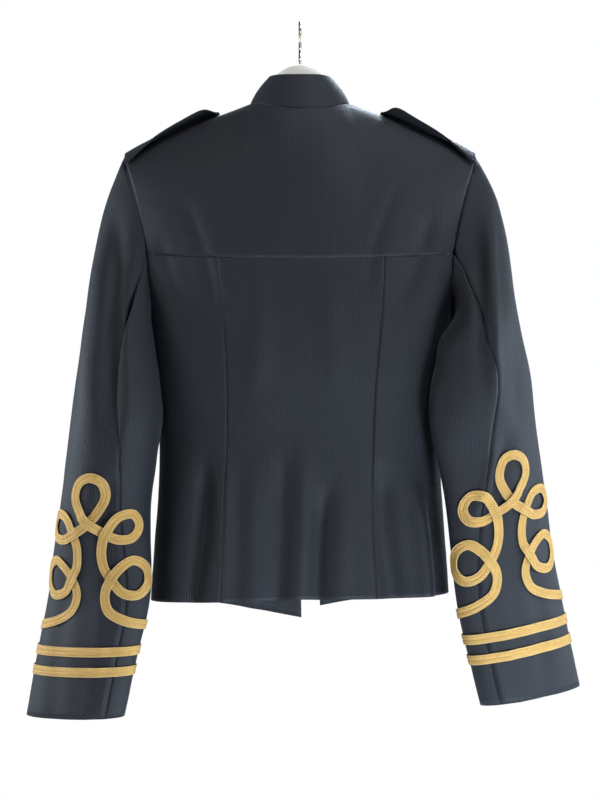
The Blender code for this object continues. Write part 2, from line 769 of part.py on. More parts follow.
def build_knot(label, side, braid):
    """One strip of braid laid in five loops; the later strand passes over at each crossing."""
    half = [(distance * MM, height * MM) for distance, height in KNOT_HALF]
    whole = [(-distance, height) for distance, height in half[:0:-1]] + half
    path, places = smooth_path(whole, KNOT_STEP)
    over = [second for _, second in crossings(path, places)]
    outer = np.zeros((len(path), 2, 3))
    inner = np.zeros_like(outer)
    ways = np.gradient(path, axis=0)
    for index, (point, way) in enumerate(zip(path, ways)):
        nearest = min(abs(places[index] - crossing) for crossing in over)
        rise = min(max((CROSSING_FLAT + CROSSING_RAMP - nearest) / CROSSING_RAMP, 0.0), 1.0)
        lift = BRAID_LIFT + CROSSING_LIFT * rise * rise * (3 - 2 * rise)
        across = np.array([-way[1], way[0]]) / np.hypot(*way) * BRAID_WIDTH / 2
        middle, upright = on_sleeve(side, *point)
        edges = [on_sleeve(side, *(point + sign * across)) for sign in (1, -1)]
        crown = float((middle - (edges[0][0] + edges[1][0]) / 2) @ upright)
        lift += max(crown, 0.0)
        for column, (foot, normal) in enumerate(edges):
            outer[index, column] = foot + normal * (lift + BRAID_THICK)
            inner[index, column] = foot + normal * lift
    wall(f"sleeve_knot_{label}", outer, inner, braid)


# Shoulder straps and their buttons


STRAP = table(
    ("x", "half_width", "spring_left", "spring_right"),
    (86, 1.5, 0, 0),
    (92, 9, 2, 2.5),
    (101, 18, 13.5, 16.5),
    (118, 19.5, 12, 12.5),
    (135, 20.5, 10.5, 11),
    (152, 21, 8, 8),
    (170, 21.5, 3, 3),
    (186, 22, 0, 0),
)
STRAP_SHARES = (-1, -0.68, -0.36, 0, 0.36, 0.68, 1)
STRAP_LIFT = 0.75 * MM
BUTTON_X = 99 * MM
BUTTON_PROFILE = ((0.0, 0.0), (5.5, 0.0), (6.0, 0.8), (5.6, 2.2), (4.2, 3.6), (2.2, 4.4), (0.0, 4.6))


def ridge_z(x):
    return float(shoulder_line((abs(x) - NECK_HALF) / (SHOULDER_HALF - NECK_HALF))[2])


def shoulder_z(side, x, y):
    """Height of the yoke or the front near the shoulder seam, at a place along and across it."""
    along = (x - NECK_HALF) / (SHOULDER_HALF - NECK_HALF)
    neck_columns = BACK_NECK_COLUMNS if y < RIDGE_Y else FRONT_NECK_COLUMNS
    neck_share = neck_columns / (neck_columns + SHOULDER_COLUMNS)
    share = neck_share + (1 - neck_share) * along
    heights = np.linspace(1.0, 0.5, 26)
    if y < RIDGE_Y:
        points = [yoke_point(side * share, height) for height in heights]
        away = [RIDGE_Y - point[1] for point in points]
    else:
        points = [front_top_point(side)(share, height) for height in heights]
        away = [point[1] - RIDGE_Y for point in points]
    return float(np.interp(abs(y - RIDGE_Y), away, [point[2] for point in points]))


def build_strap(label, side, cloth):
    """A pointed strap laid over the shoulder, held at its point, with its two corners sprung up."""
    stations = list(STRAP["x"])
    outer = np.zeros((len(stations), len(STRAP_SHARES), 3))
    inner = np.zeros_like(outer)
    for row, x in enumerate(stations):
        slope = (ridge_z(x + MM) - ridge_z(x - MM)) / (2 * MM)
        for column, share in enumerate(STRAP_SHARES):
            spring = STRAP[f"spring_{label}"][row] * max((abs(share) - 0.36) / 0.64, 0.0) ** 1.4
            y = RIDGE_Y + share * STRAP["half_width"][row]
            across = (shoulder_z(side, x, y + MM) - shoulder_z(side, x, y - MM)) / (2 * MM)
            normal = unit(np.array([-slope * side, -across, 1.0]))
            low = np.array([side * x, y, shoulder_z(side, x, y)])
            low = low + normal * STRAP_LIFT + np.array([0.0, 0.0, spring])
            inner[row, column] = low
            outer[row, column] = low + normal * STRAP_CLOTH
    wall(f"epaulette_{label}", outer, inner, cloth)


def lathe(name, profile, segments, surface, place, axis):
    """A turned piece: a profile of radii and heights in millimetres, stood on a place along an axis."""
    axis = unit(np.array(axis, float))
    first = unit(np.cross(axis, [0.0, 1.0, 0.0]))
    second = np.cross(axis, first)
    points = [np.array(place) + axis * profile[0][1] * MM]
    for radius, height in profile[1:-1]:
        for step in range(segments):
            angle = 2 * math.pi * step / segments
            points.append(np.array(place) + axis * height * MM
                          + (first * math.cos(angle) + second * math.sin(angle)) * radius * MM)
    points.append(np.array(place) + axis * profile[-1][1] * MM)
    faces = []
    rings = len(profile) - 2
    for step in range(segments):
        after = (step + 1) % segments
        faces.append((0, 1 + after, 1 + step))
        for ring in range(rings - 1):
            low = 1 + ring * segments
            faces.append((low + step, low + after, low + segments + after, low + segments + step))
        last = 1 + (rings - 1) * segments
        faces.append((last + step, last + after, len(points) - 1))
    return mesh_object(name, points, faces, surface)


def build_button(label, side, metal):
    slope = (ridge_z(BUTTON_X + MM) - ridge_z(BUTTON_X - MM)) / (2 * MM)
    normal = unit(np.array([-slope * side, 0.0, 1.0]))
    foot = np.array([side * BUTTON_X, RIDGE_Y, ridge_z(BUTTON_X)])
    place = foot + normal * (STRAP_LIFT + STRAP_CLOTH + SEAM_GAP)
    lathe(f"epaulette_button_{label}", BUTTON_PROFILE, 20, metal, place, normal)


# Hanger and hook


HUMP = table(
    ("x", "top", "half_depth", "half_height"),
    (0, -43, 6.5, 15),
    (12, -45, 6.5, 15),
    (24, -52, 6.5, 15),
    (34, -65, 6, 13),
    (43, -80, 5.5, 11),
    (54, -95, 6, 9),
)
ARM_END_X = 169 * MM
ARM_HALF_HEIGHT = 8 * MM
SEAT_DROP = 1.08 * (CLOTH + SEAM_GAP) + 0.45 * MM
HANGER_SEGMENTS = 14
WIRE = 1.6 * MM
HOOK_RADIUS = 17.5 * MM
HOOK_SEGMENTS = 10
HOOK_FIRST = math.radians(-35)
HOOK_LAST = math.radians(205)
HOOK_STEM = 20 * MM


def capped_tube(name, rings, surface):
    """A tube through rings of points, closed with a fan at each end."""
    count = len(rings[0])
    points = [np.mean(rings[0], axis=0), *[point for ring in rings for point in ring],
              np.mean(rings[-1], axis=0)]
    faces = []
    for step in range(count):
        after = (step + 1) % count
        faces.append((0, 1 + after, 1 + step))
        for ring in range(len(rings) - 1):
            low = 1 + ring * count
            faces.append((low + step, low + after, low + count + after, low + count + step))
        last = 1 + (len(rings) - 1) * count
        faces.append((last + step, last + after, len(points) - 1))
    return mesh_object(name, points, faces, surface)


def hanger_ring(x, y, top, half_depth, half_height):
    return np.array([(x, y + half_depth * math.cos(turn), top - half_height * (1 - math.sin(turn)))
                     for turn in np.linspace(0, 2 * math.pi, HANGER_SEGMENTS, endpoint=False)])


def build_hanger(plastic):
    """The hanger's body: a hump in the neck and two arms that bear under the shoulder seams."""
    half = [hanger_ring(x, 0.0, top, deep, high) for x, top, deep, high in zip(*HUMP.values())]
    for step in range(1, SHOULDER_COLUMNS):
        part = step / SHOULDER_COLUMNS
        x = lerp(NECK_HALF, SHOULDER_HALF, part)
        half.append(hanger_ring(x, RIDGE_Y * min(2 * part, 1.0), ridge_z(x) - SEAT_DROP,
                                lerp(5 * MM, 10 * MM, part), ARM_HALF_HEIGHT))
    half.append(hanger_ring(ARM_END_X, RIDGE_Y, ridge_z(ARM_END_X) - 2.5 * SEAT_DROP, 7 * MM, 4 * MM))
    mirrored = [ring * (-1, 1, 1) for ring in half[:0:-1]]
    capped_tube("hanger", mirrored + half, plastic)


def build_hook(metal):
    """Wire hook in the plane across the hanger: a stem, a bend and most of a circle."""
    middle = np.array([0.0, WIRE - HOOK_RADIUS])
    start = np.array([0.0, HUMP["top"][0] + SEAM_GAP])
    first = HOOK_FIRST
    join = middle + HOOK_RADIUS * np.array([math.cos(first), math.sin(first)])
    leave = np.array([0.0, HOOK_STEM])
    arrive = HOOK_STEM * np.array([-math.sin(first), math.cos(first)])
    path = [cubic(start, join, leave, arrive, part) for part in np.linspace(0, 1, 7)]
    path += [middle + HOOK_RADIUS * np.array([math.cos(turn), math.sin(turn)])
             for turn in np.linspace(first, HOOK_LAST, 22)[1:]]
    path = np.array(path)
    ways = np.gradient(path, axis=0)
    ways[0] = leave
    rings = []
    for place, way in zip(path, ways):
        side = np.array([way[1], -way[0]]) / np.hypot(*way)
        rings.append(np.array([
            (WIRE * math.cos(turn), place[0] + side[0] * WIRE * math.sin(turn),
             place[1] + side[1] * WIRE * math.sin(turn))
            for turn in np.linspace(0, 2 * math.pi, HOOK_SEGMENTS, endpoint=False)]))
    capped_tube("hanger_hook", rings, metal)


def main():
    for item in list(bpy.data.objects):
        bpy.data.objects.remove(item, do_unlink=True)
    cloth = material("navy_crepe", (0.016, 0.018, 0.024), 0.85)
    braid = material("gold_braid", (0.62, 0.44, 0.16), 0.45, 0.6)
    brass = material("button_brass", (0.70, 0.52, 0.24), 0.3, 1.0)
    plastic = material("cream_plastic", (0.84, 0.80, 0.72), 0.4)
    wire = material("hook_wire", (0.62, 0.58, 0.52), 0.25, 1.0)
    armholes, neck = build_body(cloth)
    build_collar(cloth, neck)
    for label, side in SIDES.items():
        angles = build_sleeve(label, side, armholes, cloth)
        for name, height in STRIPE_HEIGHTS.items():
            outer, inner = stripe_rings(side, angles, height)
            wall(f"cuff_stripe_{name}_{label}", outer, inner, braid, ring=True)
        build_knot(label, side, braid)
        build_strap(label, side, cloth)
        build_button(label, side, brass)
    build_hanger(plastic)
    build_hook(wire)


ARM_SHARE = share_at(ARMHOLE_HALF, CHEST_Z)
FRONT_ARM_SHARE = share_at(ARMHOLE_HALF, CHEST_Z, front=True)
RING_SAMPLES = np.linspace(0, 2 * math.pi, 73)
main()
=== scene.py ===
"""Looks of a cropped jacket on its hanger: ribbed crepe shells, gold braid, brass, plastic and wire.

Lengths are in metres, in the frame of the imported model: +Z up, the jacket's back towards -Y, the
inside top of the hanger's hook at the origin. Tables of folds are in millimetres.
"""

import math

import bmesh
import bpy
import numpy as np
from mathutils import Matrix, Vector, kdtree, noise
from mathutils.bvhtree import BVHTree


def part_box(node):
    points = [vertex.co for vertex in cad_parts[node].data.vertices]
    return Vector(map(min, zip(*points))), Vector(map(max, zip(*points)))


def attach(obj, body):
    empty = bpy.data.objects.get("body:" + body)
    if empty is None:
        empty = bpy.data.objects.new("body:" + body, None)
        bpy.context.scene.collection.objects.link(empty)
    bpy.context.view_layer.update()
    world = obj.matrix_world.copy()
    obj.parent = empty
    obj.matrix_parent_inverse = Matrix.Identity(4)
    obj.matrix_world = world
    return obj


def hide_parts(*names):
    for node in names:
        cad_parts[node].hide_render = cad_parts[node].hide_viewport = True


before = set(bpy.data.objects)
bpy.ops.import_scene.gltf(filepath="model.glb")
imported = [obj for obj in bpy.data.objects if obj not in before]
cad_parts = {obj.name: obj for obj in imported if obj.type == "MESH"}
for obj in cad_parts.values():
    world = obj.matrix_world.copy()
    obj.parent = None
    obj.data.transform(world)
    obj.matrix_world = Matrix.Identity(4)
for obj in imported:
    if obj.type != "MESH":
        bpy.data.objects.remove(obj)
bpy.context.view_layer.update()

MM = 0.001
BODY = "root"
RIM_ANGLE = math.radians(60)
WELD = 0.01 * MM
JOIN_FACES = math.radians(50)
JOIN_SHAPES = math.radians(60)

# Rims that lie this near to each other are sewn; the groove along the seam, and the painted shade along
# it
SEAM_REACH = 2.4 * MM
SEAM_STEP = 2 * MM
SEAM_WIDTH = 2.4 * MM
SEAM_DEPTH = 0.26 * MM
SEAM_SHADE_WIDTH = 1.1 * MM

# Pieces with fewer faces than this are rounded once more
SMALL_PIECE = 450
FINE_LEVELS = 3
COARSE_LEVELS = 2

# Every crease's depth is taken this many times; the shares of its length over which its ends fade
CREASE_GAIN = 1.7
CREASE_START = 0.3
CREASE_END = 0.35
SWELL_FADE = 0.25

# How fast a crease or swell fades as the cloth turns away from the side it is on
TURN_GAIN = 1.6

# The cloth's unevenness, broad, fine and on stiff pieces: how many to a metre, and its height in mm
WANDER, WANDER_HEIGHT = 26, 0.45
RIPPLE, RIPPLE_HEIGHT = 75, 0.14
STIFF_RIPPLE, STIFF_RIPPLE_HEIGHT = 60, 0.12

# Cloth pieces: the flat size of each, its widest by its longest, and its area
CLOTH = {
    "back_yoke": (0.408, 0.203, 0.0621),
    "back_centre": (0.173, 0.358, 0.0561),
    "back_side_left": (0.124, 0.369, 0.0396),
    "back_side_right": (0.126, 0.363, 0.0384),
    "front_left": (0.213, 0.582, 0.0973),
    "front_right": (0.190, 0.569, 0.0886),
    "top_sleeve_left": (0.227, 0.605, 0.1064),
    "top_sleeve_right": (0.277, 0.575, 0.1072),
    "under_sleeve_left": (0.128, 0.496, 0.0419),
    "under_sleeve_right": (0.174, 0.497, 0.0402),
    "collar": (0.344, 0.087, 0.0114),
    "epaulette_left": (0.069, 0.126, 0.0054),
    "epaulette_right": (0.071, 0.126, 0.0055),
}
SLEEVE_TRIMS = ("cuff_stripe_lower", "cuff_stripe_upper", "sleeve_knot")


def table(columns, *rows):
    """Rows of numbers as a dictionary of named columns."""
    return {name: np.array([row[index] for row in rows], float) for index, name in enumerate(columns)}


# Creases in millimetres: a soft trough (depth > 0) or ridge (depth < 0) from a top to a low point,
# bowed sideways in its middle; an open one runs out over the edge of the cloth at its low end
CREASE_COLUMNS = ("top_x", "top_z", "low_x", "low_z", "bow", "width", "depth", "open")

BACK_CREASES = table(
    CREASE_COLUMNS,
    (-128, -182, -84, -330, 6, 7, 1.6, 0),
    (-150, -222, -112, -322, -5, 8, 1.5, 0),
    (140, -196, 96, -318, 7, 8, 1.7, 0),
    (112, -164, 66, -300, -6, 7, 1.2, 0),
    (-40, -262, -52, -420, 4, 12, -1.4, 0),
    (34, -270, 44, -410, -5, 13, -1.3, 0),
    (-98, -448, -120, -650, 4, 9, 4.8, 1),
    (-80, -440, -86, -650, 3, 12, -3.6, 1),
    (-50, -450, -52, -650, 3, 12, -2.0, 1),
    (-19, -450, -27, -650, 4, 10, 3.8, 1),
    (2, -440, -3, -620, 3, 10, -2.4, 1),
    (29, -480, 19, -650, -4, 9, 4.0, 1),
    (50, -480, 44, -650, -4, 10, -1.2, 1),
    (86, -455, 106, -650, -6, 12, 4.8, 1),
    (116, -480, 132, -650, 5, 8, -4.6, 1),
    (134, -480, 147, -650, 4, 7, 2.6, 1),
)
FRONT_CREASES = table(
    CREASE_COLUMNS,
    (-132, -190, -92, -330, 6, 8, 1.6, 0),
    (128, -196, 86, -340, -6, 8, 1.7, 0),
    (-60, -280, -66, -430, 5, 10, -1.2, 0),
    (64, -290, 58, -440, -5, 10, -1.1, 0),
    (-48, -450, -58, -660, 5, 9, 1.4, 1),
    (-124, -440, -140, -640, -5, 9, -1.6, 1),
    (54, -460, 62, -660, 6, 9, 1.3, 1),
    (126, -450, 138, -640, -4, 8, -1.5, 1),
)
LEFT_SLEEVE_BACK = table(
    CREASE_COLUMNS,
    (-197, -180, -197, -478, 4, 13, 6.6, 0),
    (-180, -250, -177, -470, -3, 6, -2.6, 0),
    (-172, -243, -181, -258, 3, 3, -1.2, 0),
    (-218, -230, -226, -420, -4, 10, -1.6, 0),
    (-238, -330, -246, -470, 3, 8, 1.4, 0),
    (-214, -470, -238, -560, 6, 10, -1.6, 0),
    (-190, -470, -216, -545, 6, 7, 1.8, 0),
    (-236, -560, -258, -730, -4, 9, 1.1, 1),
    (-204, -590, -220, -735, 4, 8, -1.2, 1),
)
LEFT_SLEEVE_FRONT = table(
    CREASE_COLUMNS,
    (-200, -210, -206, -440, 5, 10, 2.4, 0),
    (-228, -330, -214, -500, 6, 9, 1.8, 0),
    (-196, -450, -222, -540, 6, 8, 1.6, 0),
    (-232, -560, -246, -730, -4, 9, -1.2, 1),
)
RIGHT_SLEEVE_BACK = table(
    CREASE_COLUMNS,
    (200, -176, 203, -440, -3, 7, -3.8, 0),
    (184, -200, 187, -410, 4, 9, 3.4, 0),
    (178, -262, 190, -372, 3, 5, 1.4, 0),
    (226, -300, 232, -450, -4, 10, 1.6, 0),
    (204, -440, 168, -545, 6, 7, -2.0, 0),
    (222, -420, 196, -560, -5, 9, 1.8, 0),
    (246, -470, 236, -560, 4, 8, 1.3, 0),
    (238, -560, 256, -715, 4, 9, 1.1, 1),
    (206, -580, 226, -715, -4, 8, -1.2, 1),
)
RIGHT_SLEEVE_FRONT = table(
    CREASE_COLUMNS,
    (196, -215, 200, -420, -5, 10, 2.2, 0),
    (224, -330, 206, -480, -6, 9, 1.7, 0),
    (190, -440, 220, -540, 6, 8, 1.7, 0),
    (230, -560, 248, -715, 4, 9, -1.2, 1),
)

# Where a sleeve swells towards the body: heights of the swell's ends and its reach, in millimetres
SWELL_COLUMNS = ("top_z", "low_z", "reach")
SWELLS = {
    "left": table(SWELL_COLUMNS, (-262, -462, 5.2)),
    "right": table(SWELL_COLUMNS, (-262, -372, 4.4)),
}

# The line down the middle of each sleeve: it leans out from the elbow to the cuff
SLEEVE_X = 0.195
SLEEVE_Y = -0.03
ELBOW_Z = -0.45
SLEEVE_LEAN = 0.14
STRAP_MIDDLE_DROP = 0.1


# Cloth shells


def object_from(name, mesh):
    """A new object in the scene, holding a mesh."""
    made = bpy.data.objects.new(name, mesh)
    bpy.context.scene.collection.objects.link(made)
    return made


def surface_groups(mesh):
    """Faces that join without a rim between them, the largest group first."""
    seen, groups = set(), []
    for start in mesh.faces:
        if start in seen:
            continue
        seen.add(start)
        group, stack = [start], [start]
        while stack:
            for edge in stack.pop().edges:
                if len(edge.link_faces) == 2 and edge.calc_face_angle(0) < RIM_ANGLE:
                    for face in edge.link_faces:
                        if face not in seen:
                            seen.add(face)
                            group.append(face)
                            stack.append(face)
        groups.append(group)
    return sorted(groups, key=lambda group: -sum(face.calc_area() for face in group))


def quads_of(node):
    """The surface of a CAD node, joined into quads."""
    mesh = bmesh.new()
    mesh.from_mesh(bpy.data.objects[node].data)
    bmesh.ops.remove_doubles(mesh, verts=mesh.verts, dist=WELD)
    bmesh.ops.join_triangles(
        mesh,
        faces=mesh.faces,
        angle_face_threshold=JOIN_FACES,
        angle_shape_threshold=JOIN_SHAPES,
    )
    mesh.normal_update()
    return mesh


def outside_and_inside(groups, middle):
    """The wall's two sides, the one that faces away from the middle first."""
    facing = [
        sum(face.calc_area() * face.normal.dot(face.calc_center_median() - middle) for face in group)
        for group in groups[:2]
    ]
    return (groups[0], groups[1]) if facing[0] > facing[1] else (groups[1], groups[0])


def middle_of(node):
    """A point inside the tube or shell that a node belongs to."""
    low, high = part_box(node)
    middle = (low + high) / 2
    if "sleeve" in node:
        middle.y = SLEEVE_Y
    elif "epaulette" in node:
        middle.z = low.z - STRAP_MIDDLE_DROP
    else:
        middle.x, middle.y = 0.0, 0.0
    return middle


def control_shell(node):
    """A node's quads with creased rims and, at each vertex, the way out of the cloth."""
    mesh = quads_of(node)
    groups = surface_groups(mesh)
    outside, inside = outside_and_inside(groups, middle_of(node))
    crease = mesh.edges.layers.float.new("crease_edge")
    way_out = mesh.verts.layers.float_vector.new("way_out")
    for edge in mesh.edges:
        if len(edge.link_faces) == 2 and edge.calc_face_angle(0) >= RIM_ANGLE:
            edge[crease] = 1.0
            edge.seam = True
    for sign, group in ((1, outside), (-1, inside)):
        for face in group:
            for vertex in face.verts:
                vertex[way_out] = vertex[way_out] + face.normal * sign
    for vertex in mesh.verts:
        if vertex[way_out].length > 0:
            vertex[way_out] = vertex[way_out].normalized()
    rims = [
        vertex.co.copy()
        for edge in mesh.edges
        if edge[crease] > 0
        for vertex in edge.verts
    ]
    data = bpy.data.meshes.new(node + "_cloth")
    mesh.to_mesh(data)
    mesh.free()
    return object_from(node + "_cloth", data), rims


def flatten(shell):
    """Lays each side of the cloth flat as its UV map, in metres, with the threads running upright."""
    view = bpy.context.view_layer
    view.objects.active = shell
    shell.select_set(True)
    bpy.ops.object.mode_set(mode="EDIT")
    bpy.ops.mesh.select_all(action="SELECT")
    bpy.ops.uv.unwrap(method="ANGLE_BASED", margin=0.0)
    bpy.ops.object.mode_set(mode="OBJECT")
    shell.select_set(False)
    mesh = bmesh.new()
    mesh.from_mesh(shell.data)
    layer = mesh.loops.layers.uv.active
    for group in surface_groups(mesh):
        loops = [loop for face in group for loop in face.loops]
        flat = np.array([loop[layer].uv for loop in loops])
        height = np.array([loop.vert.co.z for loop in loops])
        plane = np.column_stack([flat, np.ones(len(flat))])
        slope = np.linalg.lstsq(plane, height, rcond=None)[0]
        turn = math.atan2(slope[0], slope[1])
        outlines = [[loop[layer].uv for loop in face.loops] for face in group]
        flat_area = sum(abs(polygon_area(outline)) for outline in outlines)
        true_area = sum(face.calc_area() for face in group)
        scale = math.sqrt(true_area / max(flat_area, 1e-12))
        spin = np.array([[math.cos(turn), math.sin(turn)], [-math.sin(turn), math.cos(turn)]])
        placed = (flat - flat.mean(axis=0)) @ spin * scale
        for loop, place in zip(loops, placed):
            loop[layer].uv = place
    mesh.to_mesh(shell.data)
    mesh.free()


def polygon_area(corners):
    """Signed area of a flat outline."""
    return sum(a.cross(b) for a, b in zip(corners, [*corners[1:], corners[0]])) / 2


def smooth_step(value):
    """0 below 0 and 1 above 1, eased between."""
    held = np.clip(value, 0.0, 1.0)
    return held * held * (3 - 2 * held)


def crease_height(creases, x, z):
    """Sum of a table's troughs and ridges at points in x and z, in metres."""
    total = np.zeros_like(x)
    for index in range(len(creases["top_x"])):
        top_x, top_z, low_x, low_z, bow, width, depth, is_open = (
            creases[name][index] for name in CREASE_COLUMNS
        )
        along = (x * 1000 - top_x) * (low_x - top_x) + (z * 1000 - top_z) * (low_z - top_z)
        length_squared = (low_x - top_x) ** 2 + (low_z - top_z) ** 2
        share = along / length_squared
        aside = (x * 1000 - top_x) * (low_z - top_z) - (z * 1000 - top_z) * (low_x - top_x)
        aside = aside / math.sqrt(length_squared) + bow * 4 * share * (1 - share)
        fade = smooth_step(share / CREASE_START)
        if not is_open:
            fade = fade * smooth_step((1 - share) / CREASE_END)
        total -= CREASE_GAIN * depth * MM * np.exp(-((aside / width) ** 2)) * fade
    return total


def folded(points, ways, creases_behind, creases_before):
    """How far each point moves out, from the creases of the side it faces and a slight unevenness."""
    behind = smooth_step(-ways[:, 1] * TURN_GAIN)
    before = smooth_step(ways[:, 1] * TURN_GAIN)
    height = behind * crease_height(creases_behind, points[:, 0], points[:, 2])
    height += before * crease_height(creases_before, points[:, 0], points[:, 2])
    wander = np.array([noise.noise(Vector(point) * WANDER) for point in points])
    ripple = np.array([noise.noise(Vector(point) * RIPPLE) for point in points])
    return height + (WANDER_HEIGHT * wander + RIPPLE_HEIGHT * ripple) * MM


def swollen(node, points, ways):
    """How far a sleeve's side moves out towards the body it hangs beside."""
    side = node.rsplit("_", 1)[1]
    swells = SWELLS[side]
    toward = np.clip(ways[:, 0] * (1 if side == "left" else -1), 0.0, 1.0)
    total = np.zeros(len(points))
    for top_z, low_z, reach in zip(*(swells[name] for name in SWELL_COLUMNS)):
        share = (points[:, 2] * 1000 - top_z) / (low_z - top_z)
        window = smooth_step(share / SWELL_FADE) * smooth_step((1 - share) / SWELL_FADE)
        total += reach * MM * window * smooth_step(toward * TURN_GAIN)
    return total


def creases_for(node):
    """The tables for the outside that faces back and the one that faces front."""
    if "sleeve" in node or "stripe" in node:
        if node.endswith("left"):
            return LEFT_SLEEVE_BACK, LEFT_SLEEVE_FRONT
        return RIGHT_SLEEVE_BACK, RIGHT_SLEEVE_FRONT
    return BACK_CREASES, FRONT_CREASES


def read_points(data):
    """A mesh's vertex places as an array."""
    values = np.zeros(len(data.vertices) * 3, np.float32)
    data.vertices.foreach_get("co", values)
    return values.reshape(-1, 3).astype(float)


def seam_tree(rims, node):
    """Rim points of a node that lie against another piece's rim, as a search tree."""
    others = [point for name, points in rims.items() if name != node for point in points]
    near = kdtree.KDTree(len(others))
    for index, point in enumerate(others):
        near.insert(point, index)
    near.balance()
    edges = bpy.data.objects[node + "_cloth"].data
    joined = []
    for edge in edges.edges:
        if not edge.use_seam:
            continue
        first, second = (edges.vertices[index].co for index in edge.vertices)
        steps = max(2, int((second - first).length / SEAM_STEP))
        ends = [near.find(point)[2] < SEAM_REACH for point in (first, second)]
        if all(ends):
            joined += [first.lerp(second, step / steps) for step in range(steps + 1)]
    tree = kdtree.KDTree(len(joined) + 1)
    for index, point in enumerate(joined or [Vector((9, 9, 9))]):
        tree.insert(point, index)
    tree.balance()
    return tree


def drape(shell, node, seams):
    """Subdivides a shell and presses its creases and seams into both its sides alike."""
    levels = FINE_LEVELS if len(shell.data.polygons) < SMALL_PIECE else COARSE_LEVELS
    data = rounded(shell, levels)
    points = read_points(data)
    ways = read_way_out(data)
    if "epaulette" in node:
        moved = ripple_only(points)
    else:
        moved = folded(points, ways, *creases_for(node))
    if "sleeve" in node:
        moved += swollen(node, points, ways)
    reach = np.array([seams.find(Vector(point))[2] for point in points])
    groove = np.exp(-((reach / SEAM_WIDTH) ** 2))
    moved -= SEAM_DEPTH * groove
    data.vertices.foreach_set("co", (points + ways * moved[:, None]).astype(np.float32).ravel())
    # The seam attribute holds painted shade: how strongly the crepe is darkened, as if shaded, along
    # each seam
    seam_shade_marks = data.attributes.new("seam", "FLOAT", "POINT")
    seam_shade_marks.data.foreach_set("value", np.exp(-((reach / SEAM_SHADE_WIDTH) ** 2)).astype(np.float32))
    data.update()
    smooth_all(data)


def ripple_only(points):
    """A slight unevenness, for small stiff pieces."""
    ripple = np.array([noise.noise(Vector(point) * STIFF_RIPPLE) for point in points])
    return STIFF_RIPPLE_HEIGHT * MM * ripple


def read_way_out(data):
    """The stored way out of the cloth at each vertex, at unit length."""
    held = data.attributes["way_out"].data
    values = np.zeros(len(held) * 3, np.float32)
    held.foreach_get("vector", values)
    ways = values.reshape(-1, 3).astype(float)
    return ways / np.maximum(np.linalg.norm(ways, axis=1), 1e-9)[:, None]


# Braid

# Half of the braid's top, from its middle to its edge: share of the half width, height in millimetres
BRAID_HALF = table(
    ("share", "height"),
    (0.0, 0.78),
    (0.05, 0.82),
    (0.10, 1.00),
    (0.28, 1.14),
    (0.52, 1.16),
    (0.72, 1.04),
    (0.78, 0.90),
    (0.84, 1.10),
    (0.91, 1.24),
    (0.97, 1.08),
    (1.0, 0.60),
    (1.0, 0.12),
)
BRAID_STEP = 1.6 * MM
BRAID_THICK = 1.2 * MM

# How a braid is laid down: its gap over the sleeve, how far it may sink or rise, and the rays that
# look for the sleeve below it
BRAID_GAP = 0.12 * MM
BRAID_DROP = 0.9 * MM
BRAID_RISE = 1 * MM
PROBE_LIFT = 2 * MM
PROBE_REACH = 12 * MM
PROBE_SHARES = (-0.95, -0.5, 0.0, 0.5, 0.95)
DROP_SPREAD = 3


def walked(faces):
    """Pairs of points along a strip of quads, in order, and whether the strip closes on itself."""
    inside = set(faces)

    def rungs(face):
        return [
            edge
            for edge in face.edges
            if len(edge.link_faces) == 2
            and edge.calc_face_angle(0) < RIM_ANGLE
            and all(other in inside for other in edge.link_faces)
        ]

    ends = [face for face in faces if len(rungs(face)) == 1]
    face = ends[0] if ends else faces[0]
    rung = rungs(face)[0]
    pair = list(rung.verts)
    pairs, seen = [pair], {face}
    if ends:
        pairs = [opposite(face, pair), pair]
    while True:
        following = [other for other in rung.link_faces if other not in seen]
        if not following:
            break
        face = following[0]
        seen.add(face)
        pair = opposite(face, pair)
        pairs.append(pair)
        onward = [edge for edge in rungs(face) if edge != rung]
        if not onward:
            break
        rung = onward[0]
    points = [[vertex.co.copy() for vertex in pair] for pair in pairs]
    return points, not ends


def opposite(face, pair):
    """The two vertices of a quad that aren't in the pair, each beside its neighbour in the pair."""
    others = [vertex for vertex in face.verts if vertex not in pair]
    beside = [other for other in others if any(pair[0] in edge.verts for edge in other.link_edges)]
    first = beside[0] if beside else others[0]
    second = [other for other in others if other != first][0]
    return [first, second]


def curve_point(a, b, c, d, share):
    """A point between b and c on the smooth curve through all four."""
    cubed = share * (3 * (b - c) + d - a)
    squared = share * (2 * a - 5 * b + 4 * c - d + cubed)
    return b + 0.5 * share * (c - a + squared)


def smooth_line(points, closed, step):
    """A line of points respaced finely along a smooth curve through them."""
    held = np.array(points, float)
    if not closed:
        held = np.vstack([2 * held[0] - held[1], held, 2 * held[-1] - held[-2]])
    elif np.allclose(held[0], held[-1]):
        held = np.vstack([held[-3:-1], held, held[1:3]])
    else:
        held = np.vstack([held[-2:], held, held[:3]])
    first = 2 if closed else 1
    last = len(held) - (3 if closed else 2)
    made = []
    for index in range(first, last):
        around = held[index - 1:index + 3]
        count = max(1, int(round(np.linalg.norm((around[2] - around[1])[:3]) / step)))
        made += [curve_point(*around, share) for share in np.arange(count) / count]
    if not closed:
        made.append(held[last])
    return np.array(made)


def sleeve_x(side, height):
    """How far aside a sleeve's middle line passes at a height."""
    return side * (SLEEVE_X + np.maximum(0.0, ELBOW_Z - height) * SLEEVE_LEAN)


def braid_outside(mesh, side):
    """The faces of a strip that face away from the sleeve's middle line."""
    groups = surface_groups(mesh)
    facing = []
    for group in groups[:2]:
        total = 0.0
        for face in group:
            centre = face.calc_center_median()
            middle = Vector((sleeve_x(side, centre.z), SLEEVE_Y, centre.z))
            total += face.calc_area() * face.normal.dot(centre - middle)
        facing.append(total)
    return groups[0] if facing[0] > facing[1] else groups[1]


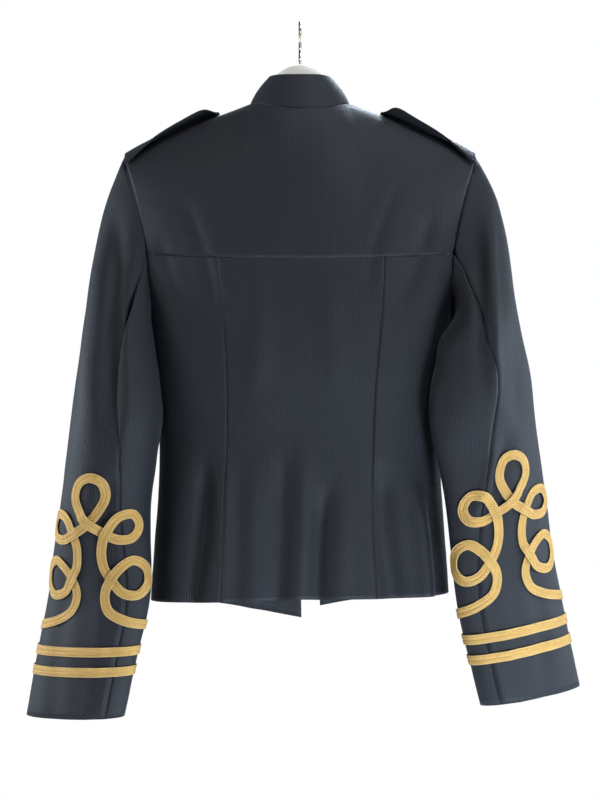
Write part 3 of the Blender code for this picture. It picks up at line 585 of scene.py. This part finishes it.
def braid_strip(node, sleeve_tree):
    """Rebuilds a strip of braid on its node's line, with two ribs, a middle groove and corded edges."""
    side = -1 if node.endswith("left") else 1
    mesh = quads_of(node)
    pairs, closed = walked(braid_outside(mesh, side))
    mesh.free()
    line = smooth_line([[*first, *second] for first, second in pairs], closed, BRAID_STEP)
    left, right = line[:, :3], line[:, 3:]
    centre = (left + right) / 2
    if closed:
        ways = np.roll(centre, -1, axis=0) - np.roll(centre, 1, axis=0)
    else:
        ways = np.gradient(centre, axis=0)
    across = right - left
    widths = np.linalg.norm(across, axis=1)[:, None]
    across = across / widths
    upright = np.cross(across, ways)
    upright = upright / np.linalg.norm(upright, axis=1)[:, None]
    height = centre[:, 2]
    axis = np.column_stack([sleeve_x(side, height), np.full(len(height), SLEEVE_Y), height])
    if np.sum(upright * (centre - axis)) < 0:
        upright = -upright
        left, right, across = right, left, -across
    points = np.vstack([left, right])
    lift = folded(points, np.vstack([upright, upright]), *creases_for(node))
    left = left + upright * lift[:len(left), None]
    right = right + upright * lift[len(left):, None]
    centre = (left + right) / 2
    drop = braid_drop(centre, across * widths / 2, upright, sleeve_tree, closed)
    centre = centre - upright * drop[:, None]
    return braid_mesh(node, centre, across, upright, widths / 2, closed)


def braid_drop(centre, half_across, upright, sleeve_tree, closed):
    """How far each place along a braid can sink before it rests on the sleeve."""
    room = np.full(len(centre), BRAID_DROP)
    for index in range(len(centre)):
        lifted = centre[index] + upright[index] * PROBE_LIFT
        for share in PROBE_SHARES:
            start = lifted + half_across[index] * share
            hit = sleeve_tree.ray_cast(Vector(start), Vector(-upright[index]), PROBE_REACH)
            if hit[0] is not None:
                room[index] = min(room[index], hit[3] - PROBE_LIFT - BRAID_THICK - BRAID_GAP)
    room = np.clip(room, -BRAID_RISE, BRAID_DROP)
    return window_of(window_of(room, np.min, closed), np.mean, closed)


def window_of(values, kind, closed):
    """Each value replaced by the least or the mean of those around it."""
    padded = np.pad(values, DROP_SPREAD, mode="wrap" if closed else "edge")
    width = 2 * DROP_SPREAD + 1
    return np.array([kind(padded[index:index + width]) for index in range(len(values))])


def braid_mesh(node, centre, across, upright, half, closed):
    """The closed skin of a braid along its stations, with its UV map in half widths and metres."""
    shares = np.concatenate([-BRAID_HALF["share"][::-1], BRAID_HALF["share"][1:]])
    heights = np.concatenate([BRAID_HALF["height"][::-1], BRAID_HALF["height"][1:]]) * MM - BRAID_THICK
    count, columns = len(centre), len(shares)
    places = centre[:, None, :] + across[:, None, :] * (half * shares)[:, :, None]
    places = places + upright[:, None, :] * heights[None, :, None]
    mesh = bmesh.new()
    layer = mesh.loops.layers.uv.new("UVMap")
    rows = [[mesh.verts.new(place) for place in row] for row in places]
    travel = np.concatenate([[0.0], np.cumsum(np.linalg.norm(np.diff(centre, axis=0), axis=1))])
    last = count if closed else count - 1
    for index in range(last):
        following = (index + 1) % count
        end_travel = travel[following] if following else travel[-1] + BRAID_STEP
        for column in range(columns):
            beside = (column + 1) % columns
            corners = (
                (rows[index][column], shares[column], travel[index]),
                (rows[index][beside], shares[beside], travel[index]),
                (rows[following][beside], shares[beside], end_travel),
                (rows[following][column], shares[column], end_travel),
            )
            face = mesh.faces.new([corner[0] for corner in corners])
            face.smooth = True
            for loop, corner in zip(face.loops, corners):
                loop[layer].uv = (corner[1], corner[2])
    if not closed:
        mesh.faces.new(rows[0])
        mesh.faces.new(rows[-1][::-1])
    bmesh.ops.recalc_face_normals(mesh, faces=mesh.faces)
    data = bpy.data.meshes.new(node + "_braid")
    mesh.to_mesh(data)
    mesh.free()
    return object_from(node + "_braid", data)


# Materials

RIB_PITCH = 2.2 * MM
CREPE_DARK = (0.0035, 0.0035, 0.0045)
CREPE_LIGHT = (0.020, 0.020, 0.024)
CREPE_COOL = (0.007, 0.009, 0.015)
# The colour of the shade painted along the seams
CREPE_SEAM_SHADE = (0.004, 0.004, 0.006)
SHEEN_COOL = (0.72, 0.80, 1.0, 1.0)
PLAIT_PITCH = 2.1 * MM
BRAID_EDGE = 0.8
BRAID_MIDDLE = 0.11
GOLD_DEEP = (0.19, 0.085, 0.014)
GOLD_MID = (0.55, 0.30, 0.060)
GOLD_LIGHT = (0.80, 0.53, 0.18)
GOLD_EDGE = (0.90, 0.66, 0.34)
BRASS_DARK = (0.42, 0.28, 0.10)
BRASS_LIGHT = (0.74, 0.55, 0.26)
CREAM_DARK = (0.71, 0.66, 0.57)
CREAM_LIGHT = (0.80, 0.76, 0.68)
WIRE_DARK = (0.44, 0.38, 0.29)
WIRE_LIGHT = (0.72, 0.68, 0.60)
FLOOR_DARK = (0.78, 0.78, 0.78)
FLOOR_LIGHT = (0.84, 0.84, 0.84)

# Places of the colour mixer's two colours and of its result among its sockets
MIX_FIRST, MIX_SECOND, MIX_RESULT = 6, 7, 2


class Graph:
    """A material's nodes, made by short calls."""

    def __init__(self, name):
        self.material = bpy.data.materials.new(name)
        self.material.use_nodes = True
        self.nodes = self.material.node_tree.nodes
        self.links = self.material.node_tree.links
        self.shader = self.nodes["Principled BSDF"]

    def node(self, kind, **settings):
        made = self.nodes.new(kind)
        for name, value in settings.items():
            setattr(made, name, value)
        return made

    def feed(self, socket, value):
        """Links an output to a socket, or sets the socket to a number or a colour."""
        if isinstance(value, (int, float)):
            socket.default_value = value
        elif isinstance(value, tuple):
            socket.default_value = (*value, 1.0)
        else:
            self.links.new(value, socket)

    def place(self):
        """Where a point lies, in metres."""
        return self.node("ShaderNodeTexCoord").outputs["Object"]

    def flat(self):
        """Where a point lies on the piece laid flat: the map, and its two parts."""
        flat = self.node("ShaderNodeUVMap", uv_map="UVMap").outputs["UV"]
        parts = self.node("ShaderNodeSeparateXYZ")
        self.feed(parts.inputs[0], flat)
        return flat, parts.outputs["X"], parts.outputs["Y"]

    def math(self, operation, *values):
        made = self.node("ShaderNodeMath", operation=operation)
        for socket, value in zip(made.inputs, values):
            self.feed(socket, value)
        return made.outputs[0]

    def times(self, first, second):
        return self.math("MULTIPLY", first, second)

    def wave(self, phase):
        """A sine wave between 0 and 1."""
        return self.math("MULTIPLY_ADD", self.math("SINE", phase), 0.5, 0.5)

    def noise(self, vector, scale, detail=3.0, roughness=0.55):
        made = self.node("ShaderNodeTexNoise")
        made.inputs["Scale"].default_value = scale
        made.inputs["Detail"].default_value = detail
        made.inputs["Roughness"].default_value = roughness
        self.feed(made.inputs["Vector"], vector)
        return made.outputs["Fac"]

    def ramp(self, value, *stops):
        made = self.node("ShaderNodeValToRGB")
        elements = made.color_ramp.elements
        while len(elements) < len(stops):
            elements.new(0.5)
        for element, (place, colour) in zip(elements, stops):
            element.position = place
            element.color = (*colour, 1.0)
        self.feed(made.inputs["Fac"], value)
        return made.outputs["Color"]

    def mix(self, share, first, second):
        made = self.node("ShaderNodeMix", data_type="RGBA")
        self.feed(made.inputs["Factor"], share)
        self.feed(made.inputs[MIX_FIRST], first)
        self.feed(made.inputs[MIX_SECOND], second)
        return made.outputs[MIX_RESULT]

    def bump(self, height, depth, strength=1.0):
        made = self.node("ShaderNodeBump")
        made.inputs["Distance"].default_value = depth
        made.inputs["Strength"].default_value = strength
        self.feed(made.inputs["Height"], height)
        self.feed(self.shader.inputs["Normal"], made.outputs["Normal"])

    def colour(self, value):
        self.feed(self.shader.inputs["Base Color"], value)

    def roughness(self, value):
        self.feed(self.shader.inputs["Roughness"], value)

    def fixed(self, **sockets):
        """Sets sockets of the shader that are the same all over."""
        for name, value in sockets.items():
            self.shader.inputs[name.replace("_", " ")].default_value = value


def crepe():
    """Near-black navy wool crepe with fine upright ribs, slubs and a soft bloom, and painted shade
    along its seams.
    """
    graph = Graph("crepe")
    flat, aside, _ = graph.flat()
    stretched = graph.node("ShaderNodeMapping")
    stretched.inputs["Scale"].default_value = (1.0, 0.22, 1.0)
    graph.feed(stretched.inputs["Vector"], flat)
    wobble = graph.noise(flat, scale=120, detail=2.0)
    turns = graph.times(aside, 2 * math.pi / RIB_PITCH)
    rib = graph.wave(graph.math("ADD", turns, graph.times(wobble, 5.0)))
    slub = graph.noise(stretched.outputs["Vector"], scale=900, roughness=0.7)
    grain = graph.noise(flat, scale=1500, detail=2.0, roughness=0.8)
    cloud = graph.noise(graph.place(), scale=14)
    weave = graph.math("ADD", graph.times(rib, 0.45), graph.times(slub, 0.65))
    weave = graph.math("ADD", weave, graph.times(grain, 0.35))
    pile = graph.ramp(weave, (0.35, CREPE_DARK), (0.95, CREPE_LIGHT))
    cooler = graph.mix(graph.times(cloud, 0.55), pile, CREPE_COOL)
    # Painted shade: the cloth darkens along each seam, as if the groove were shaded
    seam = graph.node("ShaderNodeAttribute", attribute_name="seam").outputs["Fac"]
    graph.colour(graph.mix(graph.times(seam, 0.45), cooler, CREPE_SEAM_SHADE))
    graph.bump(weave, depth=0.3 * MM)
    graph.fixed(Roughness=0.62, Specular_IOR_Level=0.3)
    graph.fixed(Sheen_Weight=0.08, Sheen_Roughness=0.30, Sheen_Tint=SHEEN_COOL)
    return graph.material


def gold_braid():
    """Flat braid of gold thread: slanting plaits that meet at a stitched middle, with corded edges."""
    graph = Graph("gold_braid")
    _, across, travel = graph.flat()
    aside = graph.math("ABSOLUTE", across)
    along = graph.times(travel, 2 * math.pi / PLAIT_PITCH)
    plait = graph.wave(graph.math("ADD", along, graph.times(aside, 9.0)))
    cord = graph.wave(graph.math("SUBTRACT", graph.times(along, 1.7), graph.times(aside, 26.0)))
    stitches = graph.wave(graph.times(along, 1.25))
    edge = graph.math("GREATER_THAN", aside, BRAID_EDGE)
    middle = graph.math("LESS_THAN", aside, BRAID_MIDDLE)
    thread = graph.mix(edge, graph.mix(middle, plait, stitches), cord)
    place = graph.place()
    wear = graph.noise(place, scale=60, detail=4.0)
    fine = graph.noise(place, scale=760, roughness=0.8)
    height = graph.math("ADD", graph.times(thread, 0.45), graph.times(fine, 0.75))
    gold = graph.ramp(height, (0.38, GOLD_DEEP), (0.56, GOLD_MID), (0.74, GOLD_LIGHT))
    pale = graph.mix(graph.times(edge, 0.35), gold, GOLD_EDGE)
    graph.colour(graph.mix(graph.times(wear, 0.35), pale, GOLD_DEEP))
    graph.bump(height, depth=0.5 * MM)
    graph.fixed(Metallic=0.5, Roughness=0.58)
    return graph.material


def brass():
    """Plain domed brass, lightly brushed and tarnished."""
    graph = Graph("brass")
    place = graph.place()
    tarnish = graph.noise(place, scale=240, detail=4.0)
    scratch = graph.noise(place, scale=2200, detail=2.0)
    graph.colour(graph.ramp(tarnish, (0.35, BRASS_DARK), (0.7, BRASS_LIGHT)))
    graph.roughness(graph.math("MULTIPLY_ADD", tarnish, 0.25, 0.18))
    graph.bump(scratch, depth=0.03 * MM, strength=0.5)
    graph.fixed(Metallic=1.0)
    return graph.material


def cream_plastic():
    """Moulded cream plastic, satin, with a faint orange-peel skin and a slightly uneven tone."""
    graph = Graph("cream_plastic")
    place = graph.place()
    cloud = graph.noise(place, scale=26, detail=4.0)
    peel = graph.noise(place, scale=700, detail=2.0)
    graph.colour(graph.ramp(cloud, (0.3, CREAM_DARK), (0.75, CREAM_LIGHT)))
    graph.roughness(graph.math("MULTIPLY_ADD", cloud, 0.16, 0.34))
    graph.bump(peel, depth=0.04 * MM, strength=0.4)
    graph.fixed(Subsurface_Weight=0.05)
    return graph.material


def hook_wire():
    """Bright plated wire with a warm cast and fine drawing lines."""
    graph = Graph("hook_wire")
    place = graph.place()
    cloud = graph.noise(place, scale=160)
    lines = graph.noise(place, scale=2600, detail=2.0)
    graph.colour(graph.ramp(cloud, (0.35, WIRE_DARK), (0.7, WIRE_LIGHT)))
    graph.bump(lines, depth=0.02 * MM, strength=0.4)
    graph.fixed(Metallic=1.0, Roughness=0.24)
    return graph.material


def pale_floor():
    """Plain pale floor, barely mottled."""
    graph = Graph("pale_floor")
    mottle = graph.noise(graph.place(), scale=3, detail=2.0)
    graph.colour(graph.ramp(mottle, (0.3, FLOOR_DARK), (0.7, FLOOR_LIGHT)))
    graph.fixed(Roughness=0.9)
    return graph.material


# The dressed pieces

# Hard pieces: edges sharper than this stay, by how much, and how often the piece is rounded
BUTTON_EDGE, BUTTON_LEVELS = math.radians(50), 2
HANGER_EDGE, HANGER_LEVELS = math.radians(70), 2
HOOK_EDGE, HOOK_LEVELS = math.radians(70), 1
EDGE_KEPT = 0.7


def rounded(shell, levels):
    """A piece's surface after it is rounded this many times."""
    rounder = shell.modifiers.new("round", "SUBSURF")
    rounder.levels = rounder.render_levels = levels
    bpy.context.view_layer.update()
    done = shell.evaluated_get(bpy.context.evaluated_depsgraph_get())
    data = bpy.data.meshes.new_from_object(done)
    shell.modifiers.clear()
    shell.data = data
    return data


def smooth_all(data):
    """Smooth shading over a whole mesh."""
    for polygon in data.polygons:
        polygon.use_smooth = True


def cover(piece, surface):
    """Gives a piece its material."""
    piece.data.materials.clear()
    piece.data.materials.append(surface)


def dress_cloth(surface):
    """Every cloth piece as a draped shell; returns them by node."""
    shells, rims = {}, {}
    for node in CLOTH:
        shells[node], rims[node] = control_shell(node)
    for shell in shells.values():
        flatten(shell)
    trees = {node: seam_tree(rims, node) for node in shells}
    for node, shell in shells.items():
        drape(shell, node, trees[node])
        cover(shell, surface)
        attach(shell, BODY)
        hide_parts(node)
    return shells


def tree_over(*shells):
    """A search tree over the surfaces of some shells."""
    mesh = bmesh.new()
    for shell in shells:
        mesh.from_mesh(shell.data)
    tree = BVHTree.FromBMesh(mesh)
    mesh.free()
    return tree


def dress_braid(shells, surface):
    """The stripes and knots of both sleeves, laid on the draped sleeves; returns them by node."""
    strips = {}
    for side in ("left", "right"):
        sleeves = tree_over(shells[f"top_sleeve_{side}"], shells[f"under_sleeve_{side}"])
        for trim in SLEEVE_TRIMS:
            node = f"{trim}_{side}"
            strip = braid_strip(node, sleeves)
            cover(strip, surface)
            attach(strip, BODY)
            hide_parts(node)
            strips[node] = strip
    return strips


def dress_hard(node, surface, crease_above, levels):
    """A hard piece rounded from its node, with its sharp edges kept."""
    mesh = quads_of(node)
    crease = mesh.edges.layers.float.new("crease_edge")
    for edge in mesh.edges:
        if len(edge.link_faces) == 2 and edge.calc_face_angle(0) >= crease_above:
            edge[crease] = EDGE_KEPT
    data = bpy.data.meshes.new(node + "_made")
    mesh.to_mesh(data)
    mesh.free()
    made = object_from(node + "_made", data)
    smooth_all(rounded(made, levels))
    cover(made, surface)
    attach(made, BODY)
    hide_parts(node)


# Stage, lights and camera

CAMERA_AWAY = 1.8
CAMERA_HEIGHT = -0.404
LENS = 75.35
SENSOR = 36.0
FLOOR_Z = -1.2
FLOOR_HALF = 1.5
FLOOR_CELLS = 8
DOME = 0.12
WHITE = (1.0, 1.0, 1.0, 1.0)
MIDDLE = (0, 0, -0.4)
HEM = (0, 0, -0.62)

# Square soft lights: name, place, what each looks at, size, power and colour
LIGHTS = (
    ("light_left", (-1.7, -0.75, 0.1), MIDDLE, 0.6, 9, (0.88, 0.94, 1.0)),
    ("light_right", (1.7, -0.7, 0.1), MIDDLE, 0.6, 9, (0.86, 0.93, 1.0)),
    ("light_edge_left", (-1.7, 0.25, -0.3), MIDDLE, 0.8, 26, (0.74, 0.87, 1.0)),
    ("light_edge_right", (1.8, 0.2, -0.3), MIDDLE, 0.8, 26, (0.74, 0.87, 1.0)),
    ("light_key", (0.5, -1.75, 1.0), HEM, 0.45, 11, (0.90, 0.95, 1.0)),
    ("light_low", (0.5, -0.75, -1.12), (-0.05, 0, -0.62), 0.25, 15, (0.70, 0.85, 1.0)),
    ("light_top", (0.35, -0.35, 1.2), (0, 0, -0.1), 0.4, 10, (0.80, 0.90, 1.0)),
    ("light_behind", (0.35, 0.9, 0.55), (0.02, 0, -0.1), 0.5, 16, (0.76, 0.88, 1.0)),
)


def area_light(name, place, target, size, power, colour):
    """A square soft light that looks at a target."""
    light = bpy.data.lights.new(name, "AREA")
    light.size = size
    light.energy = power
    light.color = colour
    made = object_from(name, light)
    made.location = place
    made.rotation_mode = "QUATERNION"
    made.rotation_quaternion = (Vector(target) - Vector(place)).to_track_quat("-Z", "Y")


def set_floor():
    """A wide pale floor well below the cuffs."""
    mesh = bmesh.new()
    bmesh.ops.create_grid(mesh, x_segments=FLOOR_CELLS, y_segments=FLOOR_CELLS, size=FLOOR_HALF)
    data = bpy.data.meshes.new("floor")
    mesh.to_mesh(data)
    mesh.free()
    floor = object_from("floor", data)
    floor.location = (0, 0, FLOOR_Z)
    data.materials.append(pale_floor())


def set_world():
    """A faint dome of light that the camera sees as plain white."""
    world = bpy.data.worlds.new("studio")
    bpy.context.scene.world = world
    world.use_nodes = True
    nodes = world.node_tree.nodes
    links = world.node_tree.links
    dome = nodes["Background"]
    dome.inputs["Color"].default_value = WHITE
    dome.inputs["Strength"].default_value = DOME
    seen = nodes.new("ShaderNodeBackground")
    seen.inputs["Color"].default_value = WHITE
    ray = nodes.new("ShaderNodeLightPath")
    chosen = nodes.new("ShaderNodeMixShader")
    links.new(ray.outputs["Is Camera Ray"], chosen.inputs["Fac"])
    links.new(dome.outputs[0], chosen.inputs[1])
    links.new(seen.outputs[0], chosen.inputs[2])
    links.new(chosen.outputs[0], nodes["World Output"].inputs["Surface"])
    bpy.context.scene.view_settings.view_transform = "Standard"


def set_camera():
    """The camera, level and square behind the jacket's back."""
    lens = bpy.data.cameras.new("camera")
    lens.lens = LENS
    lens.sensor_width = SENSOR
    camera = object_from("camera", lens)
    camera.location = (0, -CAMERA_AWAY, CAMERA_HEIGHT)
    camera.rotation_euler = (math.radians(90), 0, 0)
    bpy.context.scene.camera = camera


def main():
    """Dresses the frame and sets the stage."""
    cloth = crepe()
    gold = gold_braid()
    shells = dress_cloth(cloth)
    strips = dress_braid(shells, gold)
    button = brass()
    for side in ("left", "right"):
        dress_hard(f"epaulette_button_{side}", button, BUTTON_EDGE, BUTTON_LEVELS)
    dress_hard("hanger", cream_plastic(), HANGER_EDGE, HANGER_LEVELS)
    dress_hard("hanger_hook", hook_wire(), HOOK_EDGE, HOOK_LEVELS)
    set_floor()
    set_world()
    for light in LIGHTS:
        area_light(*light)
    set_camera()


main()
